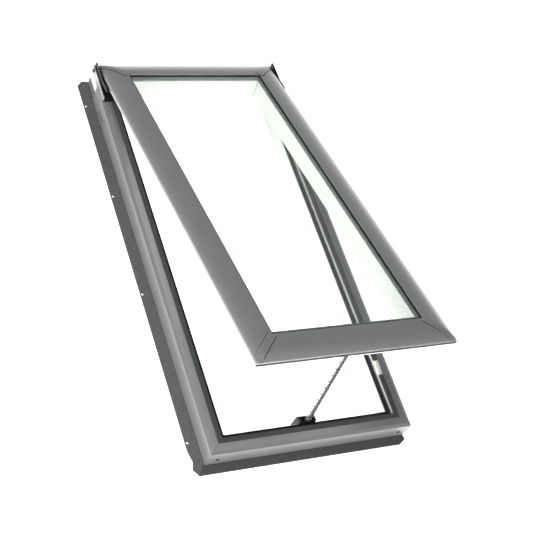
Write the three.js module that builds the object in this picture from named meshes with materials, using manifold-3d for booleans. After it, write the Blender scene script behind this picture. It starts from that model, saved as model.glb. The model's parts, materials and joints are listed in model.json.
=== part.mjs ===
// A top-hung roof skylight, opened on its push chain.
// Millimetres. +X across the roof, +Y up the roof towards the hinges, +Z out of the roof.
// Y is counted from the middle of the timber frame and the whole group is shifted at the end,
// so that the origin lies under the middle of the opened skylight, in the roof deck's plane.
import * as THREE from 'three';
import { mergeVertices } from 'three/addons/utils/BufferGeometryUtils.js';
import Module from 'manifold-3d';

const wasm = await Module();
wasm.setup();

// ---- driving dimensions ----
const TIMBER_WIDTH = 546;
const TIMBER_LENGTH = 1175;
const MEMBER = 47; // width of the frame's timber members
const UPSTAND = 31.7; // width of their raised outer part
const STEP_Z = 41; // height of their inner step
const TIMBER_Z = 54.5; // height of their raised outer part

const COVER_T = 1.5; // aluminium cover sheet
const COVER_PROUD = 4.3; // cover's outer face outside the timber
const LEDGE = 37; // width of the cover's ledge
const LEDGE_Z = 56.3; // height of the ledge
const BEVEL = 8; // width and drop of the slope between ledge and wall
const BEVEL_DROP = 3.8;
const COVER_TOP_LIP = 1.8; // the top cover's lip outside the timber
const SIDE_COVER_END = 521.6; // the side covers stop short of the top end
const LEDGE_END = 465; // and their ledges stop before the hinges

const FLANGE_T = 2;
const FLANGE_SIDE = 32.2; // reach of the side flanges beyond the covers
const FLANGE_BOTTOM = 25; // reach of the bottom flange beyond the cover
const FLANGE_LEG_Z = 20; // height of the leg that is nailed to the timber
const FLANGE_HOLES_Y = [-530, -114, 190, 494];
const FLANGE_HOLE_R = 3;
const CLIP_Y = [-443, -400]; // the ledge seal leaves this stretch to the clip
const SLOT_Y = [424.6, 462.6]; // slot in the side covers, and a deeper one in the flange leg behind
const SLOT_Z = [13, 22];
const LEG_SLOT_LOW = 4;

const OPEN_DEG = 15.4;
const HINGE_Y = 571.4;
const HINGE_Z = 60.7;
const HINGE_PIN_R = 4;

const SASH_HALF = 264.3; // half width over the cladding
const SASH_LOW = -574.8; // lower edge of the cladding, sash closed
const SASH_TOP = 576;
const BOTTOM_FACTOR = 1.069; // the bottom and top members are a little wider than the sides
const TOP_FACTOR = 1.032;
const CLAD_T = 1.5;
const CLAD_WIDTH = 64.9;
const CLAD_LOW_Z = 66;
const CLAD_LIP_Z = 73;
const STRIP_Z = 71; // lower edge of the bottom length, over its weather strip
const CLAD_HIGH_Z = 88.9;
const MITRE_GAP = 0.4;

const CHAIN_Y = -535; // chain where it leaves the operator
const CHAIN_Z = 43;
const CHAIN_PIN_CLOSED_Z = 52; // height of its end pin, sash closed
const CHAIN_W = 13;
const CHAIN_H = 11;
const CHAIN_PITCH = 12.7;
const SPROCKET_TEETH = 5;

const GAP = 0.3; // between pieces that touch

const halfW = TIMBER_WIDTH / 2;
const halfL = TIMBER_LENGTH / 2;
const coverX = halfW + COVER_PROUD;
const coverY = -halfL - COVER_PROUD;
const innerX = halfW - MEMBER;
const innerY = halfL - MEMBER;

// ---- finishes ----
const finish = (color, roughness, metalness = 0) =>
  new THREE.MeshStandardMaterial({ color, roughness, metalness });
const whiteTimber = finish(0xf2f2ee, 0.55);
const greyAluminium = finish(0x77797b, 0.4, 0.6);
const frameAluminium = finish(0x8f9292, 0.4, 0.6);
const flangeSteel = finish(0x56575a, 0.6, 0.3);
const zincSteel = finish(0xb9bcbc, 0.4, 0.8);
const blackSteel = finish(0x2c2d2f, 0.5, 0.5);
const blackRubber = finish(0x1b1c1d, 0.8);
const whitePlastic = finish(0xe9e9e6, 0.5);
const darkPlastic = finish(0x3b3c3e, 0.5);
const clearGlass = new THREE.MeshStandardMaterial({ color: 0xdfe9e4, roughness: 0.05, transparent: true, opacity: 0.3 });

// ---- shape helpers ----
const frame = new THREE.Group();
const sash = new THREE.Group();
const chain = new THREE.Group();

function add(group, name, geometry, material) {
  const mesh = new THREE.Mesh(geometry, material);
  mesh.name = name;
  group.add(mesh);
}

function outline(points) {
  return new THREE.Shape(points.map(([u, v]) => new THREE.Vector2(u, v)));
}

// moves every vertex (u, v, w) of a unit-deep extrusion to place(u, v, w)
function extrudeTo(shape, place, steps = 1) {
  const geometry = new THREE.ExtrudeGeometry(shape, { depth: 1, steps, bevelEnabled: false, curveSegments: 10 });
  const position = geometry.attributes.position;
  for (let i = 0; i < position.count; i++) {
    position.setXYZ(i, ...place(position.getX(i), position.getY(i), position.getZ(i)));
  }
  geometry.computeVertexNormals();
  return geometry;
}

// outline in (y, z), run along X; the ends may depend on y
const alongX = (shape, x0, x1) =>
  extrudeTo(shape, (u, v, w) => [w < 0.5 ? x0(u) : x1(u), u, v]);

// outline in (x, z), run along Y; the ends may depend on x
const alongY = (shape, y0, y1) =>
  extrudeTo(shape, (u, v, w) => [u, w < 0.5 ? y1(u) : y0(u), v]);

// outline in (x, y), run along Z
const alongZ = (shape, z0, z1) =>
  extrudeTo(shape, (u, v, w) => [u, v, w < 0.5 ? z0 : z1]);

function box(x0, x1, y0, y1, z0, z1) {
  const geometry = new THREE.BoxGeometry(x1 - x0, y1 - y0, z1 - z0);
  return geometry.translate((x0 + x1) / 2, (y0 + y1) / 2, (z0 + z1) / 2);
}

function rodX(radius, x0, x1, y, z, sides = 24) {
  const geometry = new THREE.CylinderGeometry(radius, radius, x1 - x0, sides);
  return geometry.rotateZ(Math.PI / 2).translate((x0 + x1) / 2, y, z);
}

function rodZ(radius, x, y, z0, z1, sides = 16) {
  const geometry = new THREE.CylinderGeometry(radius, radius, z1 - z0, sides);
  return geometry.rotateX(Math.PI / 2).translate(x, y, (z0 + z1) / 2);
}

function rodY(radius, x, y0, y1, z, sides = 16) {
  const geometry = new THREE.CylinderGeometry(radius, radius, y1 - y0, sides);
  return geometry.translate(x, (y0 + y1) / 2, z);
}

function toSolid(geometry) {
  const bare = new THREE.BufferGeometry();
  bare.setAttribute('position', geometry.attributes.position.clone());
  if (geometry.index) bare.setIndex(geometry.index.clone());
  const merged = mergeVertices(bare, 1e-4);
  return new wasm.Manifold(new wasm.Mesh({
    numProp: 3,
    vertProperties: new Float32Array(merged.attributes.position.array),
    triVerts: new Uint32Array(merged.index.array),
  }));
}

function toGeometry(solid) {
  const mesh = solid.getMesh();
  const geometry = new THREE.BufferGeometry();
  geometry.setAttribute('position', new THREE.BufferAttribute(new Float32Array(mesh.vertProperties), 3));
  geometry.setIndex(new THREE.BufferAttribute(new Uint32Array(mesh.triVerts), 1));
  geometry.computeVertexNormals();
  return geometry;
}

const cut = (body, ...tools) =>
  toGeometry(tools.reduce((left, tool) => left.subtract(toSolid(tool)), toSolid(body)));
const join = (...bodies) =>
  toGeometry(bodies.map(toSolid).reduce((sum, body) => sum.add(body)));

// rectangular ring lying flat: outer and inner rectangles as [x, yLow, yHigh]
function ring([ox, oy0, oy1], [ix, iy0, iy1], z0, z1) {
  const shape = outline([[-ox, oy0], [ox, oy0], [ox, oy1], [-ox, oy1]]);
  shape.holes.push(new THREE.Path([[-ix, iy0], [-ix, iy1], [ix, iy1], [ix, iy0]].map(([x, y]) => new THREE.Vector2(x, y))));
  return alongZ(shape, z0, z1);
}

// ---- screws: countersunk ones hold the hinge plates, pan-headed ones the bottom cover ----
const SCREW_R = 2.1;
const SCREW_LENGTH = 20;
const SCREW_HEAD_R = 4.2;
const PLATE_T = 2.2;
const PLATE_SCREWS = [[480, 42], [506, 42]]; // (y, z)
const COVER_SCREW_X = 252;
const COVER_SCREW_Z = 25;

// a countersunk screw along X, its head flush with the face at x; spare widens it into the hole's tool
function countersunk(s, x, y, z, spare = 0) {
  const above = spare ? 1 : 0;
  const profile = [
    [0, -above], [SCREW_HEAD_R + spare, -above], [SCREW_HEAD_R + spare, 0], [SCREW_R + spare, PLATE_T],
    [SCREW_R + spare, SCREW_LENGTH + spare], [0, SCREW_LENGTH + spare],
  ];
  const geometry = new THREE.LatheGeometry(profile.map(([r, h]) => new THREE.Vector2(r, h)), 16);
  return geometry.rotateZ((s * Math.PI) / 2).translate(x, y, z);
}

// ---- frame timber: four members with an inner step, mitred ----
// section as [inset from the timber's outer face, height]
const timberSection = [
  [0, 0], [MEMBER, 0], [MEMBER, STEP_Z], [UPSTAND, STEP_Z], [UPSTAND, TIMBER_Z], [BEVEL - 2, TIMBER_Z],
  [0, TIMBER_Z - BEVEL_DROP],
];
const mitreY = (x) => halfL - (halfW - Math.abs(x)) - MITRE_GAP / 2;
const mitreX = (y) => halfW - (halfL - Math.abs(y)) - MITRE_GAP / 2;
for (const [side, s] of [['left', -1], ['right', 1]]) {
  const section = outline(timberSection.map(([d, z]) => [s * (halfW - d), z]));
  const member = alongY(section, (x) => -mitreY(x), mitreY);
  const hingeRebate = box(s > 0 ? 256 : -halfW - 1, s > 0 ? halfW + 1 : -256, 462, halfL + 1, 50, TIMBER_Z + 1);
  const screwHoles = PLATE_SCREWS.map(([y, z]) => countersunk(s, s * (halfW + GAP + PLATE_T), y, z, GAP));
  add(frame, `frame_${side}_stile`, cut(member, hingeRebate, ...screwHoles), whiteTimber);
}
const railSection = (s) => outline(timberSection.map(([d, z]) => [s * (halfL - d), z]));
const topRebates = [-1, 1].map((s) => box(s > 0 ? 256 : -halfW - 1, s > 0 ? halfW + 1 : -256, 520, halfL + 1, 50, TIMBER_Z + 1));
add(frame, 'frame_top_rail', cut(alongX(railSection(1), (y) => -mitreX(y), mitreX), ...topRebates), whiteTimber);

// the bottom rail has a pocket for the chain operator in its inner face
const POCKET_BACK = -560;
const BLOCK_BACK = -562.3;
const bottomRail = alongX(railSection(-1), (y) => -mitreX(y), mitreX);
add(frame, 'frame_bottom_rail', cut(
  bottomRail,
  box(-162, 217, POCKET_BACK, -innerY + 1, 3, 38),
  box(-23.5, 23.5, BLOCK_BACK - 0.5, -innerY + 1, 2, STEP_Z + 0.2),
  ...[-1, 1].map((s) => rodY(SCREW_R + GAP, s * COVER_SCREW_X, -halfL - 1, -halfL + 14, COVER_SCREW_Z)),
), whiteTimber);

// ---- frame covers: folded sheet, a ledge on top, a slope and a wall outside ----
const coverSection = (s, outer) => outline([
  [0, FLANGE_T + GAP], [0, LEDGE_Z - BEVEL_DROP], [BEVEL, LEDGE_Z], [LEDGE, LEDGE_Z], [LEDGE, LEDGE_Z - COVER_T],
  [BEVEL + 0.3, LEDGE_Z - COVER_T], [COVER_T, LEDGE_Z - BEVEL_DROP - 1], [COVER_T, FLANGE_T + GAP],
].map(([d, z]) => [outer - s * d, z]));
const coverMitreY = (x) => coverY + (coverX - Math.abs(x)) + MITRE_GAP / 2;
for (const [side, s] of [['left', -1], ['right', 1]]) {
  const cover = alongY(coverSection(s, s * coverX), coverMitreY, () => SIDE_COVER_END);
  const inner = coverX - COVER_T;
  const tools = [box(s > 0 ? 0 : -inner, s > 0 ? inner : 0, LEDGE_END, halfL, 30, 70)];
  if (s > 0) tools.push(box(236, 252, -442, -401, 50, 60)); // cut-out for the accessory clip
  tools.push(box(s * coverX - 3, s * coverX + 3, ...SLOT_Y, ...SLOT_Z));
  tools.push(rodX(4.5, s * coverX - 3, s * coverX + 3, 419, 31));
  add(frame, `frame_cover_${side}`, cut(cover, ...tools), frameAluminium);
}
const bottomCover = alongX(
  coverSection(-1, coverY),
  (y) => -(coverX - (y - coverY)) + MITRE_GAP / 2,
  (y) => coverX - (y - coverY) - MITRE_GAP / 2,
);
add(frame, 'frame_cover_bottom', cut(
  bottomCover,
  ...[-1, 1].map((s) => rodY(SCREW_R + GAP, s * COVER_SCREW_X, coverY - 3, coverY + 3, COVER_SCREW_Z)),
), frameAluminium);
for (const [side, s] of [['left', -1], ['right', 1]]) {
  const shank = rodY(SCREW_R, s * COVER_SCREW_X, coverY - 0.6, -halfL + 13.5, COVER_SCREW_Z);
  const head = rodY(SCREW_HEAD_R, s * COVER_SCREW_X, coverY - 2, coverY - 0.4, COVER_SCREW_Z);
  add(frame, `cover_screw_${side}`, join(shank, head), blackSteel);
}
const topLipY = halfL + COVER_TOP_LIP;
add(frame, 'frame_cover_top', alongX(
  outline([
    [halfL - UPSTAND - 1, LEDGE_Z - COVER_T], [topLipY - COVER_T, LEDGE_Z - COVER_T], [topLipY - COVER_T, 30],
    [topLipY, 30], [topLipY, LEDGE_Z], [halfL - UPSTAND - 1, LEDGE_Z],
  ]),
  () => -254,
  () => 254,
), frameAluminium);

// ---- mounting flanges: a flat leg on the roof deck and a leg against the timber ----
const flangeX = coverX + FLANGE_SIDE;
const flangeY = coverY - FLANGE_BOTTOM;
const legIn = halfW + GAP;
const cornerY = -halfL - GAP;
const FOLD = 0.6; // the flat leg starts inside the upright one
const sideFlange = (s, foot) => [
  [s * (legIn + FOLD), 582], [s * (flangeX - 15), 583], [s * flangeX, 568], [s * flangeX, -552],
  ...foot.map(([x, y]) => [s * x, y]),
];
const leftFoot = [
  [flangeX - 6, -579.5], [flangeX, -599.5], [flangeX - 11.2, -614.5], [legIn + 4.5, cornerY - 0.5], [legIn + FOLD, cornerY - 0.5],
];
const rightFoot = [[flangeX - 3, -560], [legIn + FOLD, -559]];
for (const [side, s, foot] of [['left', -1, leftFoot], ['right', 1, rightFoot]]) {
  const flat = alongZ(outline(sideFlange(s, foot)), 0, FLANGE_T);
  const x0 = s > 0 ? legIn : -legIn - FLANGE_T;
  const leg = box(x0, x0 + FLANGE_T, s > 0 ? -558 : cornerY + 1, 581, 1, FLANGE_LEG_Z);
  const holes = FLANGE_HOLES_Y.map((y) => rodZ(FLANGE_HOLE_R, s * (flangeX - 6.3), y, -1, FLANGE_T + 1));
  const slot = box(x0 - 1, x0 + FLANGE_T + 1, ...SLOT_Y, LEG_SLOT_LOW, SLOT_Z[1]);
  add(frame, `flange_${side}`, cut(join(flat, leg), slot, ...holes), flangeSteel);
}
const bottomFlat = alongZ(outline([
  [-legIn - 4.3, cornerY - 0.65], [-flangeX + 9.7, flangeY], [259.5, flangeY], [279.3, -604.2], [276.4, -590.7], [legIn, cornerY - FOLD],
]), 0, FLANGE_T);
const bottomLeg = box(-legIn + 3, legIn - 3, cornerY - FLANGE_T, cornerY, 1, FLANGE_LEG_Z);
add(frame, 'flange_bottom', join(bottomFlat, bottomLeg), flangeSteel);

// ---- frame gasket: one length of rubber round the step ----
add(frame, 'frame_gasket', ring(
  [innerX + 13.5, -innerY - 13.5, innerY + 13.5],
  [innerX + 1, -innerY - 1, innerY + 1],
  STEP_Z + GAP,
  45.3,
), blackRubber);

// ---- ledge seal: rubber pushed over the ledges' inner edge, interrupted at the accessory clip ----
const SEAL_OUT = 26; // from the covers' outer face
const SEAL_IN = LEDGE + GAP + 1.1;
const SEAL_TOP = 57.8;
const SEAL_LOW = 53;
const sealX = (d) => coverX - d;
const sealY = (d) => coverY + d;
// a strip from inset a to b along the left, bottom and lower right ledges
const sealRun = (a, b, z0, z1) => alongZ(outline([
  [-sealX(a), LEDGE_END], [-sealX(a), sealY(a)], [sealX(a), sealY(a)], [sealX(a), CLIP_Y[0]],
  [sealX(b), CLIP_Y[0]], [sealX(b), sealY(b)], [-sealX(b), sealY(b)], [-sealX(b), LEDGE_END],
]), z0, z1);
add(frame, 'ledge_seal', join(
  sealRun(SEAL_OUT, SEAL_IN, LEDGE_Z + GAP, SEAL_TOP),
  sealRun(LEDGE + GAP, SEAL_IN - 0.1, SEAL_LOW, SEAL_TOP - 0.3),
), blackRubber);
add(frame, 'ledge_seal_upper_right', join(
  box(sealX(SEAL_IN), sealX(SEAL_OUT), CLIP_Y[1], LEDGE_END, LEDGE_Z + GAP, SEAL_TOP),
  box(sealX(SEAL_IN) + 0.1, sealX(LEDGE + GAP), CLIP_Y[1], LEDGE_END, SEAL_LOW, SEAL_TOP - 0.3),
), blackRubber);

// ---- hinge pads: black foam rubber over the stiles' rebated ends, from the ledge to the hinge ----
const PAD_Z = 56.3;
const PAD_END = 554;
const padSection = [[241.6, TIMBER_Z + GAP], [256.3, TIMBER_Z + GAP], [256.3, 50.3], [272.5, 50.3], [272.5, PAD_Z], [241.6, PAD_Z]];
for (const [side, s] of [['left', -1], ['right', 1]]) {
  const pad = alongY(outline(padSection.map(([x, z]) => [s * x, z])), () => LEDGE_END + GAP, () => PAD_END);
  add(frame, `hinge_pad_${side}`, pad, blackRubber);
}

// ---- accessory clip in the right ledge's cut-out ----
add(frame, 'accessory_clip', box(241.6, 251.5, -441.5, -401.5, TIMBER_Z + GAP, LEDGE_Z - 0.2), whitePlastic);

// ---- hinge plates on the frame, their pins and screws ----
const PLATE_TEETH = 5;
const TOOTH_PITCH = 11;
const plateOutline = [[467, 31], [515, 31], [524, 46]];
for (let i = 0; i < PLATE_TEETH; i++) {
  const y = 527 + i * TOOTH_PITCH;
  plateOutline.push([y, 46], [y + 2.5, 48.5], [y + 5.5, 48.5], [y + 8, 46]);
}
plateOutline.push([halfL, 46], [halfL, 70.5], [471, 70.5], [467, 67]);
for (const [side, s] of [['left', -1], ['right', 1]]) {
  const x0 = s > 0 ? legIn : -legIn - PLATE_T;
  const plate = alongX(outline(plateOutline), () => x0, () => x0 + PLATE_T);
  const pinHole = rodX(HINGE_PIN_R + GAP, x0 - 1, x0 + PLATE_T + 1, HINGE_Y, HINGE_Z);
  const plateFace = s * (legIn + PLATE_T);
  const screwHoles = PLATE_SCREWS.map(([y, z]) => countersunk(s, plateFace, y, z, GAP));
  add(frame, `hinge_plate_${side}`, cut(plate, pinHole, ...screwHoles), zincSteel);
  PLATE_SCREWS.forEach(([y, z], i) => {
    add(frame, `hinge_screw_${side}_${i + 1}`, countersunk(s, plateFace, y, z), zincSteel);
  });
  const pinEnds = s > 0 ? [267.5, 278] : [-278, -267.5];
  add(frame, `hinge_pin_${side}`, rodX(HINGE_PIN_R, ...pinEnds, HINGE_Y, HINGE_Z), blackSteel);
}

// ---- chain operator in the bottom rail: block, exit bracket, motor, magazine, covers ----
const SPROCKET_R = CHAIN_PITCH / (2 * Math.sin(Math.PI / SPROCKET_TEETH));
const SPROCKET_Y = CHAIN_Y - SPROCKET_R;
const SPROCKET_Z = 21;
const SHAFT_R = 3.6;
const BLOCK_HALF = 23;
const BLOCK_FRONT = -520.5;
add(frame, 'operator_block', cut(
  box(-BLOCK_HALF, BLOCK_HALF, BLOCK_BACK, BLOCK_FRONT, 3, 40.8),
  box(-10, 10, -560.3, -524, 6, 42),
  rodX(SHAFT_R + 0.4, -18, 18, SPROCKET_Y, SPROCKET_Z),
), darkPlastic);
const bracketBase = box(-BLOCK_HALF, BLOCK_HALF, -540.2, BLOCK_FRONT, 41.1, 44);
const cheeks = [-1, 1].map((s) => box(s > 0 ? 15.5 : -BLOCK_HALF, s > 0 ? BLOCK_HALF : -15.5, -540.2, -523, 43, 50));
add(frame, 'chain_exit_bracket', cut(join(bracketBase, ...cheeks), box(-10, 10, -541, -525, 40, 46)), blackSteel);
add(frame, 'drive_motor', rodX(9, -158, -24, -550, 20), zincSteel);
add(frame, 'chain_magazine', cut(
  box(24.5, 215, -559.5, -541.4, 4, 37),
  box(20, 212, -557.5, -543.4, 7, 34),
), darkPlastic);
add(frame, 'operator_cover_left', box(-166, -BLOCK_HALF - 0.6, -540.2, -538.7, 1, 40), whitePlastic);
add(frame, 'operator_cover_right', box(BLOCK_HALF + 0.6, 221, -540.2, -538.7, 1, 40), whitePlastic);

// the sprocket and its shaft turn together
const sprocketShape = new THREE.Shape();
const SPROCKET_POINTS = SPROCKET_TEETH * 8;
for (let i = 0; i < SPROCKET_POINTS; i++) {
  const angle = (2 * Math.PI * i) / SPROCKET_POINTS;
  const radius = SPROCKET_R - 1 + 2.6 * Math.cos(SPROCKET_TEETH * angle);
  const y = SPROCKET_Y + radius * Math.cos(angle);
  const z = SPROCKET_Z + radius * Math.sin(angle);
  if (i === 0) sprocketShape.moveTo(y, z);
  else sprocketShape.lineTo(y, z);
}
add(frame, 'drive_sprocket', cut(
  alongX(sprocketShape, () => -3.5, () => 3.5),
  rodX(SHAFT_R + GAP, -4, 4, SPROCKET_Y, SPROCKET_Z),
), zincSteel);
add(frame, 'sprocket_shaft', rodX(SHAFT_R, -17.5, 17.5, SPROCKET_Y, SPROCKET_Z), zincSteel);

// ---- sash, drawn closed; d is the inset from the cladding's outer edge ----
const sashX = (d) => SASH_HALF - d;
const sashLowY = (d) => SASH_LOW + d * BOTTOM_FACTOR;
const sashTopY = (d) => SASH_TOP - d * TOP_FACTOR;
const insetAtX = (x) => SASH_HALF - Math.abs(x);
const insetAtLow = (y) => (y - SASH_LOW) / BOTTOM_FACTOR;
const insetAtTop = (y) => (SASH_TOP - y) / TOP_FACTOR;
const rect = (d) => [sashX(d), sashLowY(d), sashTopY(d)];

// four mitred lengths of one section, given as [inset, height]
function sashLengths(section) {
  const map = (place) => outline(section.map(([d, z]) => [place(d), z]));
  const g = MITRE_GAP / 2;
  const upright = (s) => alongY(
    map((d) => s * sashX(d)),
    (x) => sashLowY(insetAtX(x)) + g,
    (x) => sashTopY(insetAtX(x)) - g,
  );
  const cross = (place, inset) => alongX(
    map(place),
    (y) => -sashX(inset(y)) + g,
    (y) => sashX(inset(y)) - g,
  );
  return {
    left: upright(-1), right: upright(1), bottom: cross(sashLowY, insetAtLow), top: cross(sashTopY, insetAtTop),
  };
}

// timber: a leg that drops into the frame, a shelf over its ledge and a rebate for the glass
const LEG_OUT = 41.8;
const LEG_IN = 67.4;
const SHELF_OUT = 7.3;
const SHELF_Z = 59;
const GLASS_SEAT_Z = 64;
const REBATE = 50.5;
const LEG_Z = 11;
const timber = sashLengths([
  [LEG_IN, LEG_Z], [LEG_OUT, LEG_Z], [LEG_OUT, SHELF_Z], [SHELF_OUT, SHELF_Z], [SHELF_OUT, 75.5], [14, 79],
  [REBATE, 80], [REBATE, GLASS_SEAT_Z], [LEG_IN, GLASS_SEAT_Z],
]);
add(sash, 'sash_left_stile', timber.left, whiteTimber);
add(sash, 'sash_right_stile', timber.right, whiteTimber);
add(sash, 'sash_top_rail', timber.top, whiteTimber);
// the bottom rail is notched to pass the operator block
add(sash, 'sash_bottom_rail', cut(timber.bottom, box(-30, 30, -540, -516, LEG_Z - 1, SHELF_Z)), whiteTimber);

// cladding: a convex sheet from a lower lip to the glass
const outerCurve = new THREE.CubicBezierCurve(
  new THREE.Vector2(0, CLAD_LIP_Z),
  new THREE.Vector2(1, 84),
  new THREE.Vector2(24, CLAD_HIGH_Z),
  new THREE.Vector2(CLAD_WIDTH, CLAD_HIGH_Z),
);
const innerCurve = new THREE.CubicBezierCurve(
  new THREE.Vector2(CLAD_T, CLAD_LIP_Z),
  new THREE.Vector2(2.5, 82.5),
  new THREE.Vector2(24.5, CLAD_HIGH_Z - CLAD_T),
  new THREE.Vector2(CLAD_WIDTH, CLAD_HIGH_Z - CLAD_T),
);
const curvePoints = (curve) => curve.getPoints(9).map((p) => [p.x, p.y]);
const claddingFrom = (lowZ) => sashLengths([
  [0, lowZ], ...curvePoints(outerCurve), ...curvePoints(innerCurve).reverse(), [CLAD_T, lowZ],
]);
for (const side of ['bottom', 'top', 'left', 'right']) {
  add(sash, `cladding_${side}`, claddingFrom(side === 'bottom' ? STRIP_Z : CLAD_LOW_Z)[side], greyAluminium);
}
// under the bottom length's short lip runs a rubber strip that sheds the rain
add(sash, 'weather_strip', sashLengths([[0, 64.5], [0, STRIP_Z - GAP], [4, STRIP_Z - GAP], [4, 64.5]]).bottom, blackRubber);

// corner strips: folded sheet that saddles the ridge of each mitre
const STRIP_HALF = 11;
const STRIP_STEPS = 12;
function claddingZ(d) {
  let low = 0;
  let high = 1;
  while (high - low > 1e-4) {
    const mid = (low + high) / 2;
    if (outerCurve.getPoint(mid).x < d) low = mid;
    else high = mid;
  }
  return outerCurve.getPoint(low).y;
}
const across = [-1, -0.67, -0.33, 0, 0.33, 0.67, 1];
const stripShape = outline([...across.map((u) => [u, 0.6]), ...across.toReversed().map((u) => [u, 1.3])]);
for (const [corner, s, end, yAt] of [
  ['bottom_left', -1, 1, sashLowY], ['bottom_right', 1, 1, sashLowY], ['top_left', -1, -1, sashTopY], ['top_right', 1, -1, sashTopY],
]) {
  add(sash, `corner_strip_${corner}`, extrudeTo(stripShape, (u, lift, w) => {
    const d = 3 + 60 * (1 - w) ** 1.5;
    const shift = u * Math.min(STRIP_HALF * Math.SQRT1_2, d - 2);
    return [s * sashX(d) + shift * end, yAt(d) + shift * s, claddingZ(d - Math.abs(shift)) + lift];
  }, STRIP_STEPS), greyAluminium);
}

// double glazing
const PANE_EDGE = 52;
const pane = rect(PANE_EDGE);
const paneBox = (z0, z1) => box(-pane[0], pane[0], pane[1], pane[2], z0, z1);
add(sash, 'inner_pane', paneBox(GLASS_SEAT_Z + GAP, 68.3), clearGlass);
const SPACER_IN = 63;
const SPACER_IN_LOW = 77; // the edge seal is wider along the bottom, where it shows inside the cladding
add(sash, 'glass_spacer', ring(
  rect(PANE_EDGE + 0.5),
  [sashX(SPACER_IN), sashLowY(SPACER_IN_LOW), sashTopY(SPACER_IN)],
  68.6,
  79.7,
), zincSteel);
add(sash, 'outer_pane', paneBox(80, 84), clearGlass);
add(sash, 'glazing_gasket', ring(rect(55), rect(CLAD_WIDTH + 1.3), 84.3, CLAD_HIGH_Z - CLAD_T - GAP), blackRubber);
add(sash, 'sash_seal', ring(rect(26.2), rect(31.5), 46, SHELF_Z - GAP), blackRubber);

// hinge arms: a channel screwed to the sash timber, its outer web on the pin
const ARM_LOW = 470;
const ARM_LEG_END = 560;
const ARM_GUSSET_LOW = 512; // a gusset stands up beside the cladding from here to the pin
const ARM_HIGH_Z = 85;
const webIn = 269.3;
const webOut = 271.8;
const armRound = new THREE.Shape();
armRound.moveTo(ARM_LOW, 59.3);
armRound.lineTo(HINGE_Y - 9, 59.3);
armRound.absarc(HINGE_Y, HINGE_Z, 9, Math.PI * 1.05, Math.PI * 2, false);
armRound.lineTo(HINGE_Y + 7, ARM_HIGH_Z - 2);
armRound.lineTo(HINGE_Y - 1, ARM_HIGH_Z);
armRound.lineTo(ARM_GUSSET_LOW, 69.7);
armRound.lineTo(ARM_LOW + 6, 69.7);
armRound.lineTo(ARM_LOW, 65);
for (const [side, s] of [['left', -1], ['right', 1]]) {
  const x = (a, b) => (s > 0 ? [a, b] : [-b, -a]);
  const [w0, w1] = x(webIn, webOut);
  const web = alongX(armRound, () => w0, () => w1);
  const leg = box(...x(257.4, webOut - 0.5), ARM_LOW, ARM_LEG_END, 59.3, 61.8);
  const inner = box(...x(257.4, 260), ARM_LOW, ARM_LEG_END, 59.5, 74);
  const hole = rodX(HINGE_PIN_R + 0.35, w0 - 1, w1 + 1, HINGE_Y, HINGE_Z);
  add(sash, `hinge_arm_${side}`, cut(join(web, leg, inner), hole), blackSteel);
}

// chain bracket: two cheeks under the shelf, with room round the chain's end pin
const bracketPlate = box(-12.5, 12.5, -540.4, -529.6, 57.2, SHELF_Z - GAP);
const bracketCheeks = [-1, 1].map((s) => box(s > 0 ? 9.7 : -12.5, s > 0 ? 12.5 : -9.7, -540.4, -529.6, 47, 58));
add(sash, 'chain_bracket', cut(
  join(bracketPlate, ...bracketCheeks),
  rodX(4, -14, 14, CHAIN_Y, CHAIN_PIN_CLOSED_Z - 0.6),
), blackSteel);

// the sash turns about the hinge pins
const open = THREE.MathUtils.degToRad(OPEN_DEG);
const sashPivot = new THREE.Group();
sashPivot.position.set(0, HINGE_Y, HINGE_Z);
sashPivot.rotation.x = -open;
sash.position.set(0, -HINGE_Y, -HINGE_Z);
sashPivot.add(sash);

// ---- push chain, drawn upright from the operator and leaned to meet the opened bracket ----
const armY = CHAIN_Y - HINGE_Y;
const armZ = CHAIN_PIN_CLOSED_Z - HINGE_Z;
const pinY = HINGE_Y + armY * Math.cos(open) + armZ * Math.sin(open);
const pinZ = HINGE_Z - armY * Math.sin(open) + armZ * Math.cos(open);
const chainLength = Math.hypot(pinY - CHAIN_Y, pinZ - CHAIN_Z);
const chainLean = Math.atan2(pinY - CHAIN_Y, pinZ - CHAIN_Z);
const END_LINK = 13;

// side view of the joined links: wide over each pin, narrow between pins
const links = new THREE.Shape();
const CHAIN_START = 3;
const runLength = chainLength - END_LINK - GAP - CHAIN_START;
const LINK_STEPS = Math.round(runLength / CHAIN_PITCH) * 2;
const edge = [];
for (let i = 0; i <= LINK_STEPS; i++) {
  edge.push([i % 2 ? CHAIN_H / 2 : CHAIN_H / 2 - 1.5, CHAIN_START + (runLength * i) / LINK_STEPS]);
}
edge.forEach(([y, z], i) => (i ? links.lineTo(y, z) : links.moveTo(y, z)));
edge.slice().reverse().forEach(([y, z]) => links.lineTo(-y, z));
add(chain, 'push_chain', alongX(links, () => -CHAIN_W / 2, () => CHAIN_W / 2), zincSteel);
const endLink = box(-CHAIN_W / 2, CHAIN_W / 2, -CHAIN_H / 2, CHAIN_H / 2, chainLength - END_LINK, chainLength + 4);
add(chain, 'chain_end_link', cut(endLink, rodX(2.9, -8, 8, 0, chainLength, 20)), zincSteel);
add(chain, 'chain_end_pin', rodX(2.5, -14.5, 14.5, 0, chainLength, 20), zincSteel);
chain.position.set(0, CHAIN_Y, CHAIN_Z);
chain.rotation.x = -chainLean;

// ---- the whole skylight, its origin under the middle ----
const group = new THREE.Group();
group.add(frame, sashPivot, chain);
group.position.y = -(flangeY + topLipY) / 2;

export default group;
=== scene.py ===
import json
import math

import bmesh
import bpy
from mathutils import Matrix, Vector
from mathutils.geometry import interpolate_bezier


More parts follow.
